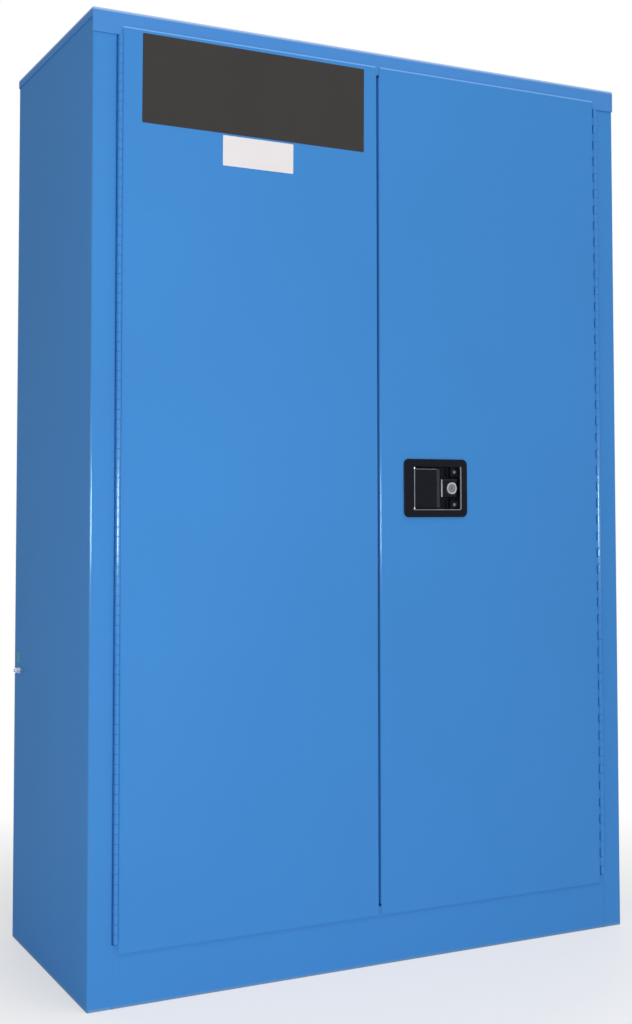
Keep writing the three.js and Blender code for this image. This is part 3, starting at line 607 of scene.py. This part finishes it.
OTHER_FINISHES = {
    "top_cap": (cap_highlight_paint,), "front_sill": (foot_highlight_paint,),
    "left_door_skin": (lip_highlight_paint, meeting_glint_paint), "right_door_skin": (lip_highlight_paint, meeting_glint_paint),
    "left_side_panel": (foot_highlight_paint, hinge_glint_paint), "right_side_panel": (foot_highlight_paint, hinge_glint_paint),
    "handle_dish": (pale_highlight_enamel, faint_highlight_enamel, bright_highlight_enamel),
    "paddle": (pale_highlight_enamel, faint_highlight_enamel),
    "lock_plug": (darker_chrome,),
}
LEAVES = ("left_frame_leaf", "right_frame_leaf", "left_door_leaf", "right_door_leaf")


def round_edges(bm, chosen, width, steps, finish, clamped=True):
    """Rounds edges. The new faces take the piece's finish of that number, or the one beside them."""
    bmesh.ops.bevel(bm, geom=chosen, offset=width, segments=steps, profile=ROUND_PROFILE, affect="EDGES",
                    clamp_overlap=clamped, harden_normals=False, material=finish)


def sharp_edges(bm):
    return [edge for edge in bm.edges if edge.is_manifold and edge.calc_face_angle() > SHARP]


def rounded_copy(node, edge_finish):
    """The node's mesh with its edges rounded. Its place and outline stay."""
    bm = bmesh.new()
    bm.from_mesh(nodes[node].data)
    bmesh.ops.remove_doubles(bm, verts=bm.verts, dist=MERGE)
    bmesh.ops.dissolve_limit(bm, angle_limit=FLAT, verts=bm.verts, edges=bm.edges)
    for chosen, width, finish in WIDE_ROUNDS.get(node, ()):
        edges = [edge for edge in sharp_edges(bm) if chosen(edge)]
        round_edges(bm, edges, width, WIDE_STEPS, finish, clamped=False)
    round_edges(bm, sharp_edges(bm), EDGE_ROUNDS.get(node, EDGE_ROUND), EDGE_STEPS, edge_finish)
    for chosen, finish in OTHER_FACES.get(node, ()):
        for face in bm.faces:
            if chosen(face):
                face.material_index = finish
    return finished(node + "_round", bm)


def add_rounded_nodes():
    """Every node but the hinge leaves. A blue piece's rounded edges get the paler edge paint, a painted
    highlight, as its last finish.
    """
    for node in sorted(nodes):
        if node in LEAVES:
            continue
        others, edge_finish = OTHER_FINISHES.get(node, ()), BESIDE
        if slots[node] == "blue_paint":
            others, edge_finish = others + (edge_highlight_paint,), len(others) + 1
        data = rounded_copy(node, edge_finish)
        piece = add_piece(node + "_round", data, body_of[node], slots[node], replaced=[node], others=others)
        weigh_normals(piece)


# Continuous hinges, with the real short knuckles

KNUCKLES = 93
KNUCKLE_GAP = 0.2 * MM
BARREL = 4.0 * MM
BARREL_SIDES = 20
BARREL_CHAMFER = 0.6 * MM
# The weld beside each knuckle of the right door's leaf
WELD_REACH = 2.6 * MM
LEAF = 1.2 * MM
# The plate starts a little behind the barrel, and each knuckle's strap laps onto it
PLATE_GAP, STRAP_LAP = 0.5 * MM, 0.6 * MM
RIVETS = 9
RIVET = 3.4 * MM
RIVET_SIDES = 16
RIVET_PROFILE = [(RIVET, -0.4 * MM), (RIVET, 0.2 * MM), (0.8 * RIVET, 0.7 * MM), (0.4 * RIVET, 0.95 * MM)]


def add_knuckle(bm, axis, bottom, length, strap):
    """A turned knuckle with the strap that wraps round to the plate. strap is its two sides."""
    eased = BARREL - BARREL_CHAMFER
    profile = [(eased, 0), (BARREL, BARREL_CHAMFER), (BARREL, length - BARREL_CHAMFER), (eased, length)]
    add_turned(bm, profile, Vector((axis.x, axis.y, bottom)), BARREL_SIDES)
    add_slab(bm, (strap[0], axis.y, bottom), (strap[1], axis.y + BARREL + STRAP_LAP, bottom + length))


def add_rivets(bm, x, y, low, high, axis):
    pitch = (high - low) / RIVETS
    for number in range(RIVETS):
        add_turned(bm, RIVET_PROFILE, Vector((x, y, low + (number + 0.5) * pitch)), RIVET_SIDES, axis)


def add_leaf(node, first):
    """One leaf: its plate, and every second knuckle from the first given."""
    low, high = boxes[node]
    side = -1 if "left" in node else 1
    outward = side if "frame" in node else -side
    axis = Vector(((low.x + high.x) / 2, low.y + (high.x - low.x) / 2, 0))
    outer = high.x if outward > 0 else low.x
    inner = outer - outward * LEAF
    x0, x1 = sorted((outer, inner))
    bm = bmesh.new()
    add_slab(bm, (x0, axis.y + BARREL + PLATE_GAP, low.z), (x1, high.y, high.z))
    pitch = (high.z - low.z) / KNUCKLES
    for number in range(first, KNUCKLES, 2):
        bottom = low.z + number * pitch + KNUCKLE_GAP / 2
        length = pitch - KNUCKLE_GAP
        add_knuckle(bm, axis, bottom, length, (x0, x1))
        if node == "right_door_leaf":
            add_slab(bm, (x0 - WELD_REACH, axis.y, bottom), (x0, axis.y + WELD_REACH, bottom + length))
    add_rivets(bm, inner, (axis.y + BARREL + high.y) / 2, low.z, high.z, Vector((-outward, 0, 0)))
    name = node + "_knuckles"
    add_piece(name, finished(name, bm), body_of[node], slots[node], hinge_glint_paint, replaced=[node])


# Bare sign and bare labels

SIGN_SHEET = 0.4 * MM
SHEET_EASE_SHARE = 0.4
CORNER_STEPS = 6
DOOR_FRONT = boxes["left_door_skin"][0].y
SIGN_WIDTH, SIGN_HEIGHT, SIGN_CORNER = 428.5 * MM, 153.3 * MM, 2 * MM
SIGN_CENTRE = Vector((-0.24405, DOOR_FRONT, 1.54))
# The sign and the label were stuck on a little askew
SIGN_TILT = 0.006
LABEL_WIDTH, LABEL_HEIGHT, LABEL_CORNER = 136 * MM, 53 * MM, 1.5 * MM
LABEL_CENTRE = Vector((-0.242, DOOR_FRONT, 1.4335))
GROUND_LABEL_WIDTH, GROUND_LABEL_HEIGHT = 20 * MM, 19 * MM
GROUND_LABEL_CENTRE = Vector((boxes["left_side_panel"][0].x, 0.199, 0.5305))
TO_LEFT_SIDE = -math.pi / 2


def rounded_plate(width, height, corner):
    """A flat sheet in the XZ plane, its back at y = 0 and its front toward -Y, with eased edges."""
    bm = bmesh.new()
    ring = []
    for quarter, (sx, sz) in enumerate(((1, 1), (-1, 1), (-1, -1), (1, -1))):
        for step in range(CORNER_STEPS + 1):
            angle = math.pi / 2 * (quarter + step / CORNER_STEPS)
            x = sx * (width / 2 - corner) + corner * math.cos(angle)
            z = sz * (height / 2 - corner) + corner * math.sin(angle)
            ring.append(bm.verts.new((x, 0, z)))
    front = extruded(bm, ring, (0, -SIGN_SHEET, 0))
    rim = [edge for edge in bm.edges if all(vert in front for vert in edge.verts)]
    round_edges(bm, rim, SIGN_SHEET * SHEET_EASE_SHARE, EDGE_STEPS, BESIDE, clamped=False)
    return bm


def add_plate(name, centre, width, height, corner, body, slot, material, turn=0.0, tilt=0.0):
    bm = rounded_plate(width, height, corner)
    for angle, axis in ((tilt, "Y"), (turn, "Z")):
        bmesh.ops.rotate(bm, verts=bm.verts, cent=(0, 0, 0), matrix=Matrix.Rotation(angle, 3, axis))
    bmesh.ops.translate(bm, verts=bm.verts, vec=centre)
    weigh_normals(add_piece(name, finished(name, bm), body, slot, material))


def add_signs():
    add_plate("bare_sign", SIGN_CENTRE, SIGN_WIDTH, SIGN_HEIGHT, SIGN_CORNER, "left_door", "black_paint",
              sign_vinyl, tilt=SIGN_TILT)
    add_plate("bare_label", LABEL_CENTRE, LABEL_WIDTH, LABEL_HEIGHT, LABEL_CORNER, "left_door",
              "white_paint", label_vinyl, tilt=SIGN_TILT)
    add_plate("ground_label", GROUND_LABEL_CENTRE, GROUND_LABEL_WIDTH, GROUND_LABEL_HEIGHT, LABEL_CORNER,
              "cabinet", None, green_vinyl, turn=TO_LEFT_SIDE)


# The handle's two fixing screws, button heads with a hexagon socket

SCREW, SCREW_HEAD = 3.3 * MM, 2.2 * MM
SCREW_SUNK = 0.2 * MM
SCREW_X, SCREW_Y = 0.167, -0.222
SCREW_HEIGHTS = {"upper_handle_screw": 0.8815, "lower_handle_screw": 0.8205}
# The head's outline, as shares of its radius and of its height
HEAD_SHARES = ((1.0, 0.35), (0.9, 0.72), (0.7, 0.94), (0.55, 1.0))
SOCKET_SHARE, SOCKET_FLOOR_SHARE = 0.42, 0.3


def add_handle_screws():
    socket = hexagon(SCREW * SOCKET_SHARE)
    head = [(SCREW * across, SCREW_HEAD * up) for across, up in HEAD_SHARES]
    recess = [(socket, SCREW_HEAD), (socket, SCREW_HEAD * SOCKET_FLOOR_SHARE)]
    profile = [(SCREW, -SCREW_SUNK)] + head + recess
    # The heads are in the pale enamel, a painted highlight
    for name, height in SCREW_HEIGHTS.items():
        add_turned_piece(name, profile, Vector((SCREW_X, SCREW_Y, height)), Vector((0, -1, 0)), "right_door",
                         "black_paint", pale_highlight_enamel)


# The ground stud's outer nut and washer

NUT, NUT_THICK, NUT_CHAMFER = 4.5 * MM, 7.0 * MM, 0.4 * MM
NUT_EASED_SHARE = 0.93
THREAD_SHARE, THREAD_MOUTH_SHARE, THREAD_MOUTH_DEPTH = 1.02, 1.15, 0.6 * MM
WASHER, WASHER_THICK, WASHER_CHAMFER = 5.6 * MM, 1.0 * MM, 0.2 * MM
WASHER_SIDES = 40


def add_ground_fasteners():
    low, high = boxes["ground_stud"]
    across, up = (low.y + high.y) / 2, (low.z + high.z) / 2
    stud = (high.z - low.z) / 2
    out = Vector((-1, 0, 0))
    face = boxes["ground_nut"][0].x
    nut, eased = hexagon(NUT), NUT_EASED_SHARE * NUT
    profile = [(eased, 0), (nut, NUT_CHAMFER), (nut, NUT_THICK - NUT_CHAMFER), (eased, NUT_THICK),
               (stud * THREAD_MOUTH_SHARE, NUT_THICK), (stud * THREAD_SHARE, NUT_THICK - THREAD_MOUTH_DEPTH)]
    add_turned_piece("ground_lock_nut", profile, Vector((face - WASHER_THICK, across, up)), out, "cabinet",
                     "zinc_plate", dull_zinc)
    rim = WASHER - WASHER_CHAMFER
    washer = [(rim, 0), (WASHER, WASHER_CHAMFER), (WASHER, WASHER_THICK - WASHER_CHAMFER),
              (rim, WASHER_THICK)]
    add_turned_piece("ground_washer", washer, Vector((face, across, up)), out, "cabinet", "zinc_plate",
                     dull_zinc, WASHER_SIDES)


# The back's spot welds

WELD = 3.2 * MM
WELD_SIDES = 16
WELD_DOME = [(WELD, -0.3 * MM), (WELD, 0.05 * MM), (0.75 * WELD, 0.28 * MM), (0.4 * WELD, 0.36 * MM)]
WELD_INSET = 14 * MM
WELD_PITCH = 96 * MM


def add_back_welds():
    """Spot welds along the back panel's edges, in one mesh. The top row lies below the cap's flange."""
    low, high = boxes["back_panel"]
    places = []
    for side in (low.x + WELD_INSET, high.x - WELD_INSET):
        for number in range(int((high.z - low.z) / WELD_PITCH)):
            places.append((side, low.z + WELD_PITCH * (number + 0.5)))
    for number in range(1, int((high.x - low.x) / WELD_PITCH)):
        across = low.x + WELD_PITCH * number + WELD_INSET
        places += [(across, high.z - 3 * WELD_INSET), (across, low.z + WELD_INSET)]
    bm = bmesh.new()
    for across, up in places:
        add_turned(bm, WELD_DOME, Vector((across, high.y, up)), WELD_SIDES, Vector((0, 1, 0)))
    add_piece("back_spot_welds", finished("back_spot_welds", bm), "cabinet", "blue_paint")


# Painted weld seams that fill the grooves between the sill's ends and the posts

POST_BEND, POST_BEND_STEPS = 2.8 * MM, 5
SILL_GAP = 0.3 * MM
SEAM_LAP = 0.05 * MM
SEAM_BEHIND_POST, SEAM_BEHIND_SILL = 0.02 * MM, 0.25 * MM
SEAM_END_GAP = 0.2 * MM


def add_sill_seams():
    post_front = boxes["left_side_panel"][0].y
    sill_low, sill_high = boxes["front_sill"]
    centre = Vector((sill_low.x - SILL_GAP - POST_BEND, post_front + POST_BEND))
    end = sill_low.x + SEAM_LAP
    section = [Vector((centre.x, post_front + SEAM_BEHIND_POST)),
               Vector((end, sill_low.y + SEAM_BEHIND_SILL)), Vector((end, centre.y))]
    for step in range(POST_BEND_STEPS):
        angle = -math.pi / 2 * step / POST_BEND_STEPS
        section.append(centre + POST_BEND * Vector((math.cos(angle), math.sin(angle))))
    for name, side in (("left_sill_seam", 1), ("right_sill_seam", -1)):
        bm = bmesh.new()
        ring = [bm.verts.new((side * point.x, point.y, SEAM_END_GAP)) for point in section]
        extruded(bm, ring, (0, 0, sill_high.z - 2 * SEAM_END_GAP))
        add_piece(name, finished(name, bm), "cabinet", "blue_paint")


# Stage and light

FLOOR_HALF, FLOOR_THICK = 9.0, 0.02
FLOOR_GREY = (0.86, 0.86, 0.86, 1)
# The floor turns from part white to white between two distances from the middle
FLOOR_NEAR, FLOOR_FAR = 0.55, 1.3
NEAR_WHITE = 0.5
WORLD_STRENGTH = 0.38


def sees_background(tree):
    """1 for the rays that show the white background: the camera's, and those off metal or through glass."""
    path = tree.nodes.new("ShaderNodeLightPath")
    total = path.outputs["Is Camera Ray"]
    for kind in ("Is Glossy Ray", "Is Transmission Ray"):
        larger = tree.nodes.new("ShaderNodeMath")
        larger.operation = "MAXIMUM"
        tree.links.new(total, larger.inputs[0])
        tree.links.new(path.outputs[kind], larger.inputs[1])
        total = larger.outputs[0]
    return total


def blended(tree, share, first, second):
    """Surface first where share is 0 and second where it is 1."""
    blend = tree.nodes.new("ShaderNodeMixShader")
    for socket, output in zip(blend.inputs, (share, first, second)):
        tree.links.new(output, socket)
    return blend.outputs[0]


def add_stage():
    bm = bmesh.new()
    add_slab(bm, (-FLOOR_HALF, -FLOOR_HALF, -FLOOR_THICK), (FLOOR_HALF, FLOOR_HALF, 0))
    floor = bpy.data.objects.new("floor", finished("floor", bm, smooth=False))
    bpy.context.scene.collection.objects.link(floor)
    shader = Shader("floor")
    shader.set(base_color=FLOOR_GREY, roughness=0.6)
    away = shader.node("ShaderNodeVectorMath", operation="LENGTH")
    shader.link(shader.place, away.inputs[0])
    far = shader.ranged(away.outputs["Value"], FLOOR_NEAR, FLOOR_FAR, NEAR_WHITE, 1.0)
    share = shader.multiplied(far, sees_background(shader.tree))
    white = shader.node("ShaderNodeEmission")
    white.inputs["Color"].default_value = WHITE
    surface = blended(shader.tree, share, shader.surface.outputs[0], white.outputs[0])
    output = next(node for node in shader.tree.nodes if node.type == "OUTPUT_MATERIAL")
    shader.link(surface, output.inputs["Surface"])
    floor.data.materials.append(shader.material)


def add_world():
    """A dim white light all round, in front of which the background still shows white."""
    world = bpy.data.worlds.new("studio")
    world.use_nodes = True
    tree = world.node_tree
    dim = tree.nodes["Background"]
    dim.inputs["Strength"].default_value = WORLD_STRENGTH
    white = tree.nodes.new("ShaderNodeBackground")
    for background in (dim, white):
        background.inputs["Color"].default_value = WHITE
    surface = blended(tree, sees_background(tree), dim.outputs[0], white.outputs[0])
    tree.links.new(surface, tree.nodes["World Output"].inputs["Surface"])
    bpy.context.scene.world = world


def add_lamp(name, place, target, size, watts):
    data = bpy.data.lights.new(name, "AREA")
    data.shape = "RECTANGLE"
    data.size, data.size_y = size
    data.energy = watts
    lamp = bpy.data.objects.new(name, data)
    lamp.location = place
    lamp.rotation_euler = (Vector(target) - Vector(place)).to_track_quat("-Z", "Y").to_euler()
    lamp.visible_camera = False
    bpy.context.scene.collection.objects.link(lamp)


add_camera()
add_rounded_nodes()
for leaf in LEAVES:
    add_leaf(leaf, 0 if "frame" in leaf else 1)
add_signs()
add_handle_screws()
add_ground_fasteners()
add_back_welds()
add_sill_seams()
add_stage()
add_world()
add_lamp("front", place=(-1.4, -2.5, 0.775), target=(0, 0, 0.8), size=(1.4, 0.3), watts=28)
add_lamp("overhead", place=(0.6, -1.6, 4.2), target=(0.2, -0.4, 0), size=(3.0, 2.0), watts=59)
bpy.context.scene.view_settings.view_transform = "Standard"
